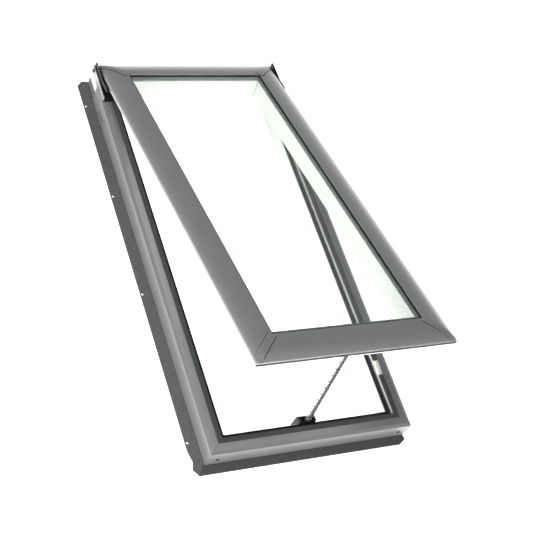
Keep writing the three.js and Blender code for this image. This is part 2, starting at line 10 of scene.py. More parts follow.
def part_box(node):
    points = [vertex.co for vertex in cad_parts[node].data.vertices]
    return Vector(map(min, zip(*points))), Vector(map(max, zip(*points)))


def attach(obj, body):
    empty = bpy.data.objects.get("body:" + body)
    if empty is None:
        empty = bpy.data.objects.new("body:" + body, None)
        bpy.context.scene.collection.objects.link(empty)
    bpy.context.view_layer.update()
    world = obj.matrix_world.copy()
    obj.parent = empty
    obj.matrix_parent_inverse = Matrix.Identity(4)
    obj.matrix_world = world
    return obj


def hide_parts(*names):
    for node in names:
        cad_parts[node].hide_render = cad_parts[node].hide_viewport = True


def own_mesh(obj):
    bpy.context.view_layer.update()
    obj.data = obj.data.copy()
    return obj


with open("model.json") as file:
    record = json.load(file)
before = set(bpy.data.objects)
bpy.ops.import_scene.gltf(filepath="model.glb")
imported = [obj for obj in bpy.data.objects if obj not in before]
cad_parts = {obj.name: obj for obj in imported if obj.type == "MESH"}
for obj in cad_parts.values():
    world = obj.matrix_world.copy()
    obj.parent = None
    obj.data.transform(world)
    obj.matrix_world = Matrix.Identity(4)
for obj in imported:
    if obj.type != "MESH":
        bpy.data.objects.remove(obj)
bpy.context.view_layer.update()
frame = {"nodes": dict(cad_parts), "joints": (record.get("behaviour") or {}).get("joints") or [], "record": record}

# ---- frame timbers ----
# Four lengths of pine, mitred and glued into the frame that stands on the roof deck. The arrises are
# sanded round and the wood is sprayed white, so that only a little of the grain shows through.
MM = 0.001


def linear(colour):
    """A #rrggbb colour as the linear RGBA that a socket takes."""
    channels = [int(colour[i : i + 2], 16) / 255 for i in (1, 3, 5)]
    return [c / 12.92 if c <= 0.04045 else ((c + 0.055) / 1.055) ** 2.4 for c in channels] + [1]


def add_node(tree, kind, settings=None, links=None):
    """Adds a node with its properties, input values and links."""
    node = tree.nodes.new("ShaderNode" + kind)
    for key, value in (settings or {}).items():
        if isinstance(key, str) and hasattr(node, key):
            setattr(node, key, value)
        else:
            node.inputs[key].default_value = value
    for key, socket in (links or {}).items():
        tree.links.new(socket, node.inputs[key])
    return node


def new_finish(name, settings):
    """A material with one Principled shader: its tree, shader and coordinates on the piece, in metres."""
    finish = bpy.data.materials.new(name)
    finish.use_nodes = True
    tree = finish.node_tree
    tree.nodes.clear()
    shader = add_node(tree, "BsdfPrincipled", settings)
    add_node(tree, "OutputMaterial", {}, {"Surface": shader.outputs[0]})
    coords = add_node(tree, "TexCoord").outputs["Object"]
    return finish, tree, shader, coords


def painted_pine(name, grain_scale):
    """Sprayed alkyd paint on planed pine: satin white, with the grain as faint ridges."""
    finish, tree, shader, coords = new_finish(name, {"Roughness": 0.38, "IOR": 1.5})
    grain_width = 2.4 * MM
    along = add_node(tree, "Mapping", {"Scale": grain_scale}, {"Vector": coords})
    fibres = {"Scale": 1 / grain_width, "Detail": 3, "Roughness": 0.6}
    grain = add_node(tree, "TexNoise", fibres, {"Vector": along.outputs[0]})
    tint = add_node(
        tree, "MixRGB", {"Color1": linear("#dadad7"), "Color2": linear("#d1d1cc")}, {0: grain.outputs["Fac"]}
    )
    spray = add_node(tree, "TexNoise", {"Scale": 1 / (0.9 * MM), "Detail": 2}, {"Vector": coords})
    relief = add_node(
        tree, "Math", {"operation": "MULTIPLY_ADD", 1: 0.25},
        {0: spray.outputs["Fac"], 2: grain.outputs["Fac"]},
    )
    bump = add_node(tree, "Bump", {"Strength": 0.35, "Distance": 0.12 * MM}, {"Height": relief.outputs[0]})
    tree.links.new(tint.outputs[0], shader.inputs["Base Color"])
    tree.links.new(bump.outputs[0], shader.inputs["Normal"])
    return finish


# the grain runs along each member, some forty times longer than it is wide
pine_upright = painted_pine("white_painted_pine_upright", (1, 0.025, 1))
pine_crosswise = painted_pine("white_painted_pine_crosswise", (0.025, 1, 1))

body_of = {node: body for body, nodes in frame["record"]["behaviour"]["bodies"].items() for node in nodes}


def softened(node, arris, sharpest=26):
    """A copy of a CAD node with its flat faces joined and its edges over sharpest degrees rounded."""
    bm = bmesh.new()
    bm.from_mesh(frame["nodes"][node].data)
    bmesh.ops.remove_doubles(bm, verts=bm.verts, dist=0.01 * MM)
    bmesh.ops.dissolve_limit(bm, angle_limit=math.radians(1), verts=bm.verts, edges=bm.edges)
    edges = [e for e in bm.edges if e.is_manifold and e.calc_face_angle() > math.radians(sharpest)]
    bmesh.ops.bevel(
        bm, geom=edges, offset=arris, offset_type="OFFSET", segments=2, profile=0.5,
        affect="EDGES", clamp_overlap=True, material=-1,
    )
    return bm


def fit(bm, name, finish, *nodes):
    """Makes the mesh a piece that stands for its CAD nodes and moves with them."""
    mesh = bpy.data.meshes.new(name)
    bm.to_mesh(mesh)
    bm.free()
    mesh.shade_smooth()
    mesh.set_sharp_from_angle(angle=math.radians(40))
    mesh.materials.append(finish)
    piece = bpy.data.objects.new(name, mesh)
    bpy.context.scene.collection.objects.link(piece)
    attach(piece, body_of[nodes[0]])
    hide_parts(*nodes)
    return piece


def even_shading(piece):
    """Keeps the flat faces flat between their rounded edges."""
    piece.modifiers.new("even_shading", "WEIGHTED_NORMAL").keep_sharp = True


def fit_softened(nodes, arris, finish, ending, sharpest=26):
    for node in nodes:
        even_shading(fit(softened(node, arris, sharpest), f"{node}_{ending}", finish, node))


fit_softened(["frame_left_stile", "frame_right_stile"], 1.2 * MM, pine_upright, "painted")
fit_softened(["frame_bottom_rail", "frame_top_rail"], 1.2 * MM, pine_crosswise, "painted")

# ---- mounting flanges ----
# Folded steel angles nailed to the timber and to the deck. They are galvanised and then painted
# dark grey, so that the zinc's crystals show through as faint flat patches.


def painted_galvanised(name, colour, darker):
    """Thin matt paint on galvanised sheet: the spangle is 7 mm patches, a shade apart."""
    finish, tree, shader, coords = new_finish(name, {"Metallic": 0.15, "IOR": 1.5})
    spangle = add_node(tree, "TexVoronoi", {"Scale": 1 / (7 * MM)}, {"Vector": coords})
    patch = add_node(tree, "RGBToBW", {}, {0: spangle.outputs["Color"]})
    tint = add_node(
        tree, "MixRGB", {"Color1": linear(darker), "Color2": linear(colour)}, {0: patch.outputs[0]}
    )
    sheen = add_node(tree, "MapRange", {"To Min": 0.46, "To Max": 0.6}, {"Value": patch.outputs[0]})
    grit = add_node(tree, "TexNoise", {"Scale": 1 / (0.7 * MM), "Detail": 2}, {"Vector": coords})
    bump = add_node(tree, "Bump", {"Strength": 0.2, "Distance": 0.05 * MM}, {"Height": grit.outputs["Fac"]})
    tree.links.new(tint.outputs[0], shader.inputs["Base Color"])
    tree.links.new(sheen.outputs[0], shader.inputs["Roughness"])
    tree.links.new(bump.outputs[0], shader.inputs["Normal"])
    return finish


flange_paint = painted_galvanised("dark_grey_paint_on_galvanised_steel", "#68696b", "#5d5e60")
fit_softened(["flange_left", "flange_right"], 0.4 * MM, flange_paint, "folded")
# the bottom one is painted darker, as painted shade for the shadow of the frame wall above it, and is pushed along
# until its mitre meets the left one's
MITRE_CLOSING = 0.28 * MM
shaded_bottom_paint = painted_galvanised("grey_paint_on_galvanised_steel_painted_shade", "#515254", "#47484a")
bottom_flange = softened("flange_bottom", 0.4 * MM)
bmesh.ops.translate(bottom_flange, vec=(-MITRE_CLOSING, 0, 0), verts=bottom_flange.verts)
even_shading(fit(bottom_flange, "flange_bottom_folded", shaded_bottom_paint, "flange_bottom"))

# ---- frame covers ----
# Roll-formed aluminium, 1.5 mm thick, that caps the timber with a ledge, a slope and a wall. It comes
# off a coil that is lacquered grey before it is formed, which leaves a satin, slightly metallic skin.


def coil_lacquer(name, colour, shade, flake):
    """Grey polyester lacquer with fine metal flake: satin, with a trace of roller mottle."""
    finish, tree, shader, coords = new_finish(name, {"Metallic": flake, "IOR": 1.5})
    mottle = add_node(tree, "TexNoise", {"Scale": 1 / (45 * MM), "Detail": 2}, {"Vector": coords})
    tint = add_node(
        tree, "MixRGB", {"Color1": linear(colour), "Color2": linear(shade)}, {0: mottle.outputs["Fac"]}
    )
    streak = add_node(tree, "TexNoise", {"Scale": 1 / (9 * MM), "Detail": 3}, {"Vector": coords})
    sheen = add_node(tree, "MapRange", {"To Min": 0.3, "To Max": 0.38}, {"Value": streak.outputs["Fac"]})
    peel = add_node(tree, "TexNoise", {"Scale": 1 / (1.3 * MM), "Detail": 1}, {"Vector": coords})
    bump = add_node(tree, "Bump", {"Strength": 0.12, "Distance": 0.03 * MM}, {"Height": peel.outputs["Fac"]})
    tree.links.new(tint.outputs[0], shader.inputs["Base Color"])
    tree.links.new(sheen.outputs[0], shader.inputs["Roughness"])
    tree.links.new(bump.outputs[0], shader.inputs["Normal"])
    return finish


# the same lacquer as the sash cladding's, given darker colours here as painted shade for the shade that the sash
# casts on the ledges
shaded_cover_lacquer = coil_lacquer("grey_lacquered_aluminium_frame_painted_darker", "#a4a6a6", "#9c9e9e", 0.7)
fit_softened(
    ["frame_cover_bottom", "frame_cover_left", "frame_cover_right", "frame_cover_top"],
    0.45 * MM, shaded_cover_lacquer, "formed", sharpest=18,
)

# ---- cover screws ----
# Pan-headed screws, black passivated, that hold the lower cover to the timber near its corners.
# The head is turned with a dome and a round drive recess.


def black_passivated(name):
    """Zinc with a black chromate: near black, silky, a little blotched as the bath leaves it."""
    finish, tree, shader, coords = new_finish(name, {"Metallic": 0.5, "IOR": 1.5})
    blotch = add_node(tree, "TexNoise", {"Scale": 1 / (6 * MM), "Detail": 4}, {"Vector": coords})
    tint = add_node(
        tree, "MixRGB", {"Color1": linear("#1b1c1e"), "Color2": linear("#2b2c2e")}, {0: blotch.outputs["Fac"]}
    )
    sheen = add_node(tree, "MapRange", {"To Min": 0.36, "To Max": 0.5}, {"Value": blotch.outputs["Fac"]})
    tree.links.new(tint.outputs[0], shader.inputs["Base Color"])
    tree.links.new(sheen.outputs[0], shader.inputs["Roughness"])
    return finish


def turned(profile, turn, place):
    """A profile of (radius, height) points spun round Z, then turned and moved into place."""
    bm = bmesh.new()
    points = [bm.verts.new((radius, 0, height)) for radius, height in profile]
    line = [bm.edges.new(pair) for pair in zip(points, points[1:])]
    bmesh.ops.spin(
        bm, geom=points + line, cent=(0, 0, 0), axis=(0, 0, 1), angle=math.tau, steps=32, use_merge=True
    )
    bmesh.ops.remove_doubles(bm, verts=bm.verts, dist=0.005 * MM)
    bmesh.ops.recalc_face_normals(bm, faces=bm.faces)
    bmesh.ops.transform(bm, matrix=Matrix.Translation(place) @ turn, verts=bm.verts)
    return bm


black_steel = black_passivated("black_passivated_steel")
towards_front = Matrix.Rotation(math.radians(90), 4, "X")
for side in ("left", "right"):
    low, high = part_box(f"cover_screw_{side}")
    head_face = Vector(((low.x + high.x) / 2, low.y, (low.z + high.z) / 2))
    length = high.y - low.y
    profile = [
        (0, -1.1), (1.2, -1.1), (1.4, -0.15), (2.4, -0.1), (3.6, -0.5), (4.2, -1.2), (4.2, -1.7),
        (2.1, -1.8), (2.1, -length / MM + 1), (0, -length / MM),
    ]
    screw = turned([(r * MM, z * MM) for r, z in profile], towards_front, head_face)
    fit(screw, f"cover_screw_{side}_turned", black_steel, f"cover_screw_{side}")

# ---- frame gasket ----
# Extruded EPDM rubber laid round the step of the timber, its corners vulcanised. It has a hollow
# bulb that the sash's leg presses on, a groove, and a thin lip along the inner arris.


def epdm(name, colour):
    """Extruded rubber: matt black, with a bloom of 0.4 mm grain that takes the edge off the shine."""
    finish, tree, shader, coords = new_finish(name, {"Base Color": linear(colour), "IOR": 1.5})
    grain = add_node(tree, "TexNoise", {"Scale": 1 / (0.4 * MM), "Detail": 3}, {"Vector": coords})
    bloom = add_node(tree, "MapRange", {"To Min": 0.55, "To Max": 0.8}, {"Value": grain.outputs["Fac"]})
    bump = add_node(tree, "Bump", {"Strength": 0.3, "Distance": 0.04 * MM}, {"Height": grain.outputs["Fac"]})
    tree.links.new(bloom.outputs[0], shader.inputs["Roughness"])
    tree.links.new(bump.outputs[0], shader.inputs["Normal"])
    return finish


def edges_of(low, high):
    return {"left": low.x, "right": high.x, "bottom": low.y, "top": high.y}


def mitred_length(section, side, edges, widen=None, closed=True, gap=0.0):
    """One side of a rectangular frame, cut to a mitre at both ends. The section is (inset, height)
    points, edges say where the inset is 0, and widen says how much wider than the sides a rail is."""
    widen = widen or {}
    across = 0 if side in ("left", "right") else 1
    along = 1 - across
    ends = ("bottom", "top") if across == 0 else ("left", "right")
    inward = {"left": 1, "right": -1, "bottom": 1, "top": -1}
    spare = 50 * MM
    bm = bmesh.new()
    points = []
    for inset, height in section:
        place = Vector((0, 0, height))
        place[across] = edges[side] + inward[side] * inset * widen.get(side, 1)
        place[along] = edges[ends[0]] - spare
        points.append(bm.verts.new(place))
    following = points[1:] + points[:1] if closed else points[1:]
    outline = [bm.edges.new(pair) for pair in zip(points, following)]
    drawn = bmesh.ops.extrude_edge_only(bm, edges=outline)["geom"]
    travel = Vector((0, 0, 0))
    travel[along] = edges[ends[1]] - edges[ends[0]] + 2 * spare
    bmesh.ops.translate(bm, vec=travel, verts=[g for g in drawn if isinstance(g, bmesh.types.BMVert)])
    for end in ends:
        corner = Vector((0, 0, 0))
        corner[across] = edges[side]
        corner[along] = edges[end]
        mitre = Vector((0, 0, 0))
        mitre[across] = inward[side] * widen.get(side, 1)
        mitre[along] = inward[end] * widen.get(end, 1)
        outward = mitre.cross(Vector((0, 0, 1))).normalized()
        if outward[along] * inward[end] > 0:
            outward.negate()
        bmesh.ops.bisect_plane(
            bm, geom=bm.verts[:] + bm.edges[:] + bm.faces[:], dist=0.001 * MM,
            plane_co=corner - outward * gap / 2, plane_no=outward, clear_outer=True,
        )
    return bm


def mitred_ring(section, edges, widen=None):
    """Four mitred lengths welded into one ring."""
    ring = bmesh.new()
    for side in edges:
        part = mitred_length(section, side, edges, widen)
        mesh = bpy.data.meshes.new(side)
        part.to_mesh(mesh)
        part.free()
        ring.from_mesh(mesh)
        bpy.data.meshes.remove(mesh)
    bmesh.ops.remove_doubles(ring, verts=ring.verts, dist=0.02 * MM)
    bmesh.ops.recalc_face_normals(ring, faces=ring.faces)
    return ring


def half_round(middle, radius, base, height):
    """Points over a bulb, from its far side back to its near one."""
    turns = [math.pi * i / 10 for i in range(11)]
    return [(middle + radius * math.cos(t), base + height * math.sin(t)) for t in turns]


black_rubber = epdm("black_extruded_rubber", "#1c1d1e")
low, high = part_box("frame_gasket")
strip = [(0, 0), (12.5, 0), (12.5, 3.5), (12, 4), (11.2, 4), (10.7, 1.3), (9.6, 1.3)]
strip += half_round(5.2, 4.2, 1.4, 2.5)
strip += [(0, 1.4)]
gasket = mitred_ring([(d * MM, low.z + z * MM) for d, z in strip], edges_of(low, high))
fit(gasket, "frame_gasket_extruded", black_rubber, "frame_gasket")

# ---- ledge seal and hinge pads ----
# A second rubber extrusion is pushed over the inner edge of the ledges, in two lengths that leave the
# clip free. Behind the hinge plates, pads of black foam rubber fill the rebates in the stiles.
ledge_rubber = epdm("dark_grey_rubber_ledge_seal", "#434546")
fit_softened(["ledge_seal", "ledge_seal_upper_right"], 0.3 * MM, ledge_rubber, "extruded")
foam_rubber = epdm("black_foam_rubber", "#1d1e1f")
fit_softened(["hinge_pad_left", "hinge_pad_right"], 0.8 * MM, foam_rubber, "cut")

# ---- accessory clip ----
# A moulded white catch for a blind or screen that sits in the cut-out of the right-hand ledge.


def moulded(name, colour, roughness):
    """Injection-moulded ABS: even colour, with the 0.3 mm grain of the eroded mould."""
    finish, tree, shader, coords = new_finish(name, {"Base Color": linear(colour), "IOR": 1.53})
    grain = add_node(tree, "TexNoise", {"Scale": 1 / (0.3 * MM), "Detail": 2}, {"Vector": coords})
    spread = {"To Min": roughness - 0.05, "To Max": roughness + 0.08}
    sheen = add_node(tree, "MapRange", spread, {"Value": grain.outputs["Fac"]})
    bump = add_node(tree, "Bump", {"Strength": 0.25, "Distance": 0.03 * MM}, {"Height": grain.outputs["Fac"]})
    tree.links.new(sheen.outputs[0], shader.inputs["Roughness"])
    tree.links.new(bump.outputs[0], shader.inputs["Normal"])
    return finish


white_abs = moulded("white_moulded_abs", "#e4e4e1", 0.42)
fit_softened(["accessory_clip"], 0.4 * MM, white_abs, "moulded")

# ---- hinge plates, their pins and screws ----
# Pressed steel plates screwed to the outside of the stiles, bright zinc plated. The pins are riveted
# into them, and the countersunk screws lie flush behind the side covers.


def zinc_plated(name, colour, roughness):
    """Bright zinc on pressed steel: fine draw lines along the strip and a soft clouding."""
    finish, tree, shader, coords = new_finish(name, {"Metallic": 1})
    along = add_node(tree, "Mapping", {"Scale": (1, 0.08, 1)}, {"Vector": coords})
    lines = add_node(tree, "TexNoise", {"Scale": 1 / (0.6 * MM), "Detail": 2}, {"Vector": along.outputs[0]})
    cloud = add_node(tree, "TexNoise", {"Scale": 1 / (14 * MM), "Detail": 3}, {"Vector": coords})
    tint = add_node(
        tree, "MixRGB", {"Color1": linear(colour), "Color2": linear("#9fa3a4")}, {0: cloud.outputs["Fac"]}
    )
    spread = {"To Min": roughness - 0.06, "To Max": roughness + 0.1}
    sheen = add_node(tree, "MapRange", spread, {"Value": lines.outputs["Fac"]})
    bump = add_node(tree, "Bump", {"Strength": 0.15, "Distance": 0.03 * MM}, {"Height": lines.outputs["Fac"]})
    tree.links.new(tint.outputs[0], shader.inputs["Base Color"])
    tree.links.new(sheen.outputs[0], shader.inputs["Roughness"])
    tree.links.new(bump.outputs[0], shader.inputs["Normal"])
    return finish


bright_zinc = zinc_plated("bright_zinc_plated_steel", "#c9cccd", 0.36)
fit_softened(["hinge_plate_left", "hinge_plate_right"], 0.3 * MM, bright_zinc, "pressed")
hinge_screws = [f"hinge_screw_{side}_{number}" for side in ("left", "right") for number in (1, 2)]
fit_softened(hinge_screws, 0.15 * MM, bright_zinc, "driven")

for side, towards in (("left", -1), ("right", 1)):
    low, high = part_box(f"hinge_pin_{side}")
    outer = high.x if towards > 0 else low.x
    place = Vector((outer, (low.y + high.y) / 2, (low.z + high.z) / 2))
    length = (high.x - low.x) / MM
    profile = [
        (0, 0), (4.6, -0.15), (5.6, -0.7), (5.6, -1.6), (4, -1.8),
        (4, -length + 0.6), (3.4, -length), (0, -length),
    ]
    outward = Matrix.Rotation(math.radians(90 * towards), 4, "Y")
    pin = turned([(r * MM, z * MM) for r, z in profile], outward, place)
    fit(pin, f"hinge_pin_{side}_riveted", black_steel, f"hinge_pin_{side}")

# ---- chain operator ----
# A sealed electric drive let into the lower rail: a moulded block for the sprocket, a motor with its
# gears in one can, a magazine for the wound-in chain, a steel exit bracket and two white covers.
dark_abs = moulded("dark_grey_moulded_nylon", "#2c2d2f", 0.45)
fit_softened(["operator_block", "chain_magazine"], 0.8 * MM, dark_abs, "moulded")
fit_softened(["operator_cover_left", "operator_cover_right"], 0.5 * MM, white_abs, "moulded")
fit_softened(["chain_exit_bracket"], 0.7 * MM, black_steel, "pressed")
fit_softened(["drive_sprocket"], 0.3 * MM, bright_zinc, "cut")
fit_softened(["sprocket_shaft"], 0.4 * MM, bright_zinc, "ground")

low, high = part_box("drive_motor")
length = (high.x - low.x) / MM
radius = (high.z - low.z) / 2 / MM
profile = [
    (0, 0), (3, 0), (3.2, -1.5), (radius - 1, -1.8), (radius, -2.8), (radius, -34), (radius - 0.8, -34.6),
    (radius - 0.8, -36), (radius, -36.6), (radius, -length + 9), (radius - 0.9, -length + 8.2),
    (radius - 0.9, -length + 1), (radius - 2, -length), (0, -length),
]
motor_end = Vector((high.x, (low.y + high.y) / 2, (low.z + high.z) / 2))
motor = turned([(r * MM, z * MM) for r, z in profile], Matrix.Rotation(math.radians(90), 4, "Y"), motor_end)
fit(motor, "drive_motor_drawn", bright_zinc, "drive_motor")

# ---- sash timbers ----
# The sash is framed in the same white-painted pine: a shelf that lies over the frame, a leg that
# drops inside it and a rebate that the glass is bedded in.
fit_softened(["sash_left_stile", "sash_right_stile"], 1.2 * MM, pine_upright, "painted")
fit_softened(["sash_bottom_rail", "sash_top_rail"], 1.2 * MM, pine_crosswise, "painted")

# ---- double glazing ----
# Two panes of 4 mm float glass with ground arrises, and between them a dull aluminium spacer. The iron
# in the glass turns it faintly green, which shows most where it is seen at a slant.


def float_glass(name, colour):
    """Clear soda-lime glass. Lamps reach the room through it, as they do through a real pane."""
    finish, tree, shader, coords = new_finish(
        name, {"Base Color": linear(colour), "Transmission Weight": 1, "IOR": 1.52, "Roughness": 0.0}
    )
    clear = add_node(tree, "BsdfTransparent", {"Color": linear(colour)})
    rays = add_node(tree, "LightPath")
    through = add_node(
        tree, "MixShader", {}, {0: rays.outputs["Is Shadow Ray"], 1: shader.outputs[0], 2: clear.outputs[0]}
    )
    output = next(node for node in tree.nodes if node.type == "OUTPUT_MATERIAL")
    tree.links.new(through.outputs[0], output.inputs["Surface"])
    return finish


clear_float = float_glass("clear_float_glass", "#fafcfb")
fit_softened(["inner_pane", "outer_pane"], 0.4 * MM, clear_float, "ground")
spacer_metal = painted_galvanised("dull_spacer_aluminium", "#5c6660", "#545e58")
fit_softened(["glass_spacer"], 0.6 * MM, spacer_metal, "bent")

# ---- glazing gasket and sash seal ----
# The gasket is an extruded rubber strip pressed between the outer pane and the cladding, with a small
# lip that wipes the glass. The seal is a hollow bulb under the shelf that closes against the frame.
joints = {joint["name"]: joint for joint in frame["joints"]}
sash_angle = math.radians(-joints["sash_hinge"]["range_deg"][0])
hinge_at = Vector(joints["sash_hinge"]["pos_m"])
lean_back = Matrix.Rotation(-sash_angle, 4, "X")
raise_sash = Matrix.Translation(hinge_at) @ lean_back @ Matrix.Translation(-hinge_at)
# the sash lies flat in these sizes: insets from its cladding's edge and heights above the deck, in mm
SASH_HALF = 264.3 * MM
SASH_LOW = -561.05 * MM
SASH_HIGH = 589.75 * MM
sash_edges = {"left": -SASH_HALF, "right": SASH_HALF, "bottom": SASH_LOW, "top": SASH_HIGH}
# how much wider than the sides the bottom and top rails are
rail_widths = {"bottom": 1.069, "top": 1.032}

wedge = [(55, 84.3), (69.6, 84.3), (69.7, 84.7), (67.2, 85.6), (66, 86.9), (55, 87)]
gasket = mitred_ring([(d * MM, z * MM) for d, z in wedge], sash_edges, rail_widths)
bmesh.ops.transform(gasket, matrix=raise_sash, verts=gasket.verts)
fit(gasket, "glazing_gasket_extruded", black_rubber, "glazing_gasket")

bulb_turns = [math.pi * (i / 10 - 0.15) for i in range(14)]
bulb = [(26.5, 58.7), (26.5, 55.6)]
bulb += [(28.9 - 2.5 * math.cos(t), 50.6 - 4.6 * math.sin(t)) for t in bulb_turns]
bulb += [(31.3, 55.6), (31.3, 58.7)]
seal = mitred_ring([(d * MM, z * MM) for d, z in bulb], sash_edges, rail_widths)
bmesh.ops.transform(seal, matrix=raise_sash, verts=seal.verts)
fit(seal, "sash_seal_extruded", black_rubber, "sash_seal")

# ---- sash cladding ----
# Four lengths of roll-formed aluminium in the frame's grey, crowned so that rain runs off, with an
# upright lip outside. They are mitred, and a folded strip closes each corner over the joint.
sash_lacquer = coil_lacquer("grey_lacquered_aluminium_sash", "#c8cacc", "#c0c2c4", 0.85)
CLADDING_WIDTH = 64.9
CLADDING_TOP = 88.9
LIP_FOOT = 66
SHORT_LIP_FOOT = 71
CROWN_FOOT = 73
crown_guides = [(1.1, 73.4), (9, 82), (26, CLADDING_TOP), (CLADDING_WIDTH, CLADDING_TOP)]
crown = [(p.x, p.y) for p in interpolate_bezier(*(Vector((d, z, 0)) for d, z in crown_guides), 25)]
sheet = [(0, LIP_FOOT), (0, 72.2), (1.1, 72.6), *crown]
short_sheet = [(0, SHORT_LIP_FOOT), *sheet[1:]]
for side in sash_edges:
    section = short_sheet if side == "bottom" else sheet
    length = mitred_length(
        [(d * MM, z * MM) for d, z in section], side, sash_edges, rail_widths, closed=False, gap=0.4 * MM
    )
    top_face = max(length.faces, key=lambda face: face.calc_center_median().z)
    if top_face.normal.z < 0:
        bmesh.ops.reverse_faces(length, faces=length.faces)
    bmesh.ops.transform(length, matrix=raise_sash, verts=length.verts)
    piece = fit(length, f"cladding_{side}_formed", sash_lacquer, f"cladding_{side}")
    thickness = piece.modifiers.new("sheet", "SOLIDIFY")
    thickness.thickness = 1.5 * MM
    thickness.offset = -1
    rim = piece.modifiers.new("rolled_edges", "BEVEL")
    rim.width = 0.35 * MM
    rim.segments = 2
    rim.limit_method = "ANGLE"
    rim.angle_limit = math.radians(50)
    even_shading(piece)

# each strip is a low saddle 22 mm wide with rolled rims, bedded in a black bead that shows at its edges; the bead
# is sealant, and its black is also painted shade for the shadow lines under the strip's edges. It follows the
# crown from the corner to the glass, with closer rows where the crown is steep
STRIP_HALF = 10.4 * math.sqrt(0.5)
STRIP_START = 3
STRIP_LENGTH = 61.5
STRIP_ROWS = 24
SHADOW_BEAD_COLUMNS = 3
# across the strip as a share of its half width, and the rise above the cladding in mm
half_profile = [
    (1.12, -0.3), (1.1, 0.35), (0.98, 0.45), (0.96, 1.2), (0.88, 1.6), (0.72, 1.25), (0.4, 1.05), (0, 1.35),
]
strip_profile = [(-u, rise) for u, rise in half_profile] + half_profile[-2::-1]
strip_columns = len(strip_profile) - 1
crown_line = [(0, CROWN_FOOT), *crown]


def crown_height(inset):
    """Height of the cladding's outer face at an inset from its edge."""
    for (d0, z0), (d1, z1) in zip(crown_line, crown_line[1:]):
        if inset <= d1:
            return z0 + (z1 - z0) * max(0, inset - d0) / (d1 - d0)
    return CLADDING_TOP


for end, lead in (("bottom", 1), ("top", -1)):
    for side, hand in (("left", -1), ("right", 1)):
        strip = bmesh.new()
        bmesh.ops.create_grid(strip, x_segments=strip_columns, y_segments=STRIP_ROWS, size=1)
        for face in strip.faces:
            column = (face.calc_center_median().x + 1) / 2 * strip_columns
            # the outer columns of each side take the black bead: sealant, and painted shade for the shadow under
            # the strip's edges
            face.material_index = int(min(column, strip_columns - column) < SHADOW_BEAD_COLUMNS)
        for vert in strip.verts:
            u, rise = strip_profile[round((vert.co.x + 1) / 2 * strip_columns)]
            inset = STRIP_START + STRIP_LENGTH * max(0, (1 - vert.co.y) / 2) ** 1.5
            shift = u * min(STRIP_HALF, inset - 2)
            vert.co = (
                hand * (SASH_HALF - inset * MM) + shift * lead * MM,
                sash_edges[end] + lead * inset * rail_widths[end] * MM + shift * hand * MM,
                (crown_height(inset - abs(shift)) + rise) * MM,
            )
        bmesh.ops.recalc_face_normals(strip, faces=strip.faces)
        if sum(face.normal.z for face in strip.faces) < 0:
            bmesh.ops.reverse_faces(strip, faces=strip.faces)
        bmesh.ops.transform(strip, matrix=raise_sash, verts=strip.verts)
        piece = fit(strip, f"corner_strip_{end}_{side}_folded", sash_lacquer, f"corner_strip_{end}_{side}")
        piece.data.materials.append(black_rubber)

# ---- weather strip ----
# The lower length of cladding has a short lip, and under it an extruded strip of black rubber is
# pushed on, which draws the dark line along the sash's lower edge.
fit_softened(["weather_strip"], 0.6 * MM, black_rubber, "extruded")

# ---- hinge arms and chain bracket ----
# Pressed steel channels screwed under the sash, black passivated. The arms turn on the hinge pins,
# and the bracket's two cheeks hold the end of the chain.
fit_softened(["hinge_arm_left", "hinge_arm_right"], 0.4 * MM, black_steel, "pressed")
fit_softened(["chain_bracket"], 0.4 * MM, black_steel, "pressed")

# ---- push chain ----
# A roller chain of 12.7 mm pitch, nickel plated: pairs of figure-of-eight plates, the inner ones
# pressed on bushes and the outer ones riveted to the pins. Its lower end goes down to the sprocket.


def nickel_plated(name):
    """Nickel on hardened steel: brighter on the plates' faces, with tumbling marks 1 mm across."""
    finish, tree, shader, coords = new_finish(name, {"Metallic": 1})
    marks = add_node(tree, "TexNoise", {"Scale": 1 / (1 * MM), "Detail": 4}, {"Vector": coords})
    tint = add_node(
        tree, "MixRGB", {"Color1": linear("#c9cbcb"), "Color2": linear("#eceeee")}, {0: marks.outputs["Fac"]}
    )
    sheen = add_node(tree, "MapRange", {"To Min": 0.2, "To Max": 0.36}, {"Value": marks.outputs["Fac"]})
    bump = add_node(tree, "Bump", {"Strength": 0.2, "Distance": 0.03 * MM}, {"Height": marks.outputs["Fac"]})
    tree.links.new(tint.outputs[0], shader.inputs["Base Color"])
    tree.links.new(sheen.outputs[0], shader.inputs["Roughness"])
    tree.links.new(bump.outputs[0], shader.inputs["Normal"])
    return finish


nickel = nickel_plated("nickel_plated_steel")
# the inner plates and rollers are near-black steel: painted shade for the shadowed gaps between the outer plates
inner_links_painted_shade = zinc_plated("dull_steel_with_painted_shade", "#2e3032", 0.5)
PITCH = 12.7 * MM
PLATE_R = 5.6 * MM
chain_foot = Vector(joints["chain_swing"]["pos_m"])
chain_way = Vector(joints["chain_extend"]["axis"])
low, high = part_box("chain_end_pin")
reach = ((low + high) / 2 - chain_foot).dot(chain_way)
lean = math.atan2(chain_way.y, chain_way.z)
stand_up = Matrix.Translation(chain_foot) @ Matrix.Rotation(-lean, 4, "X")
quarter_turn = Matrix.Rotation(math.radians(90), 4, "Y")


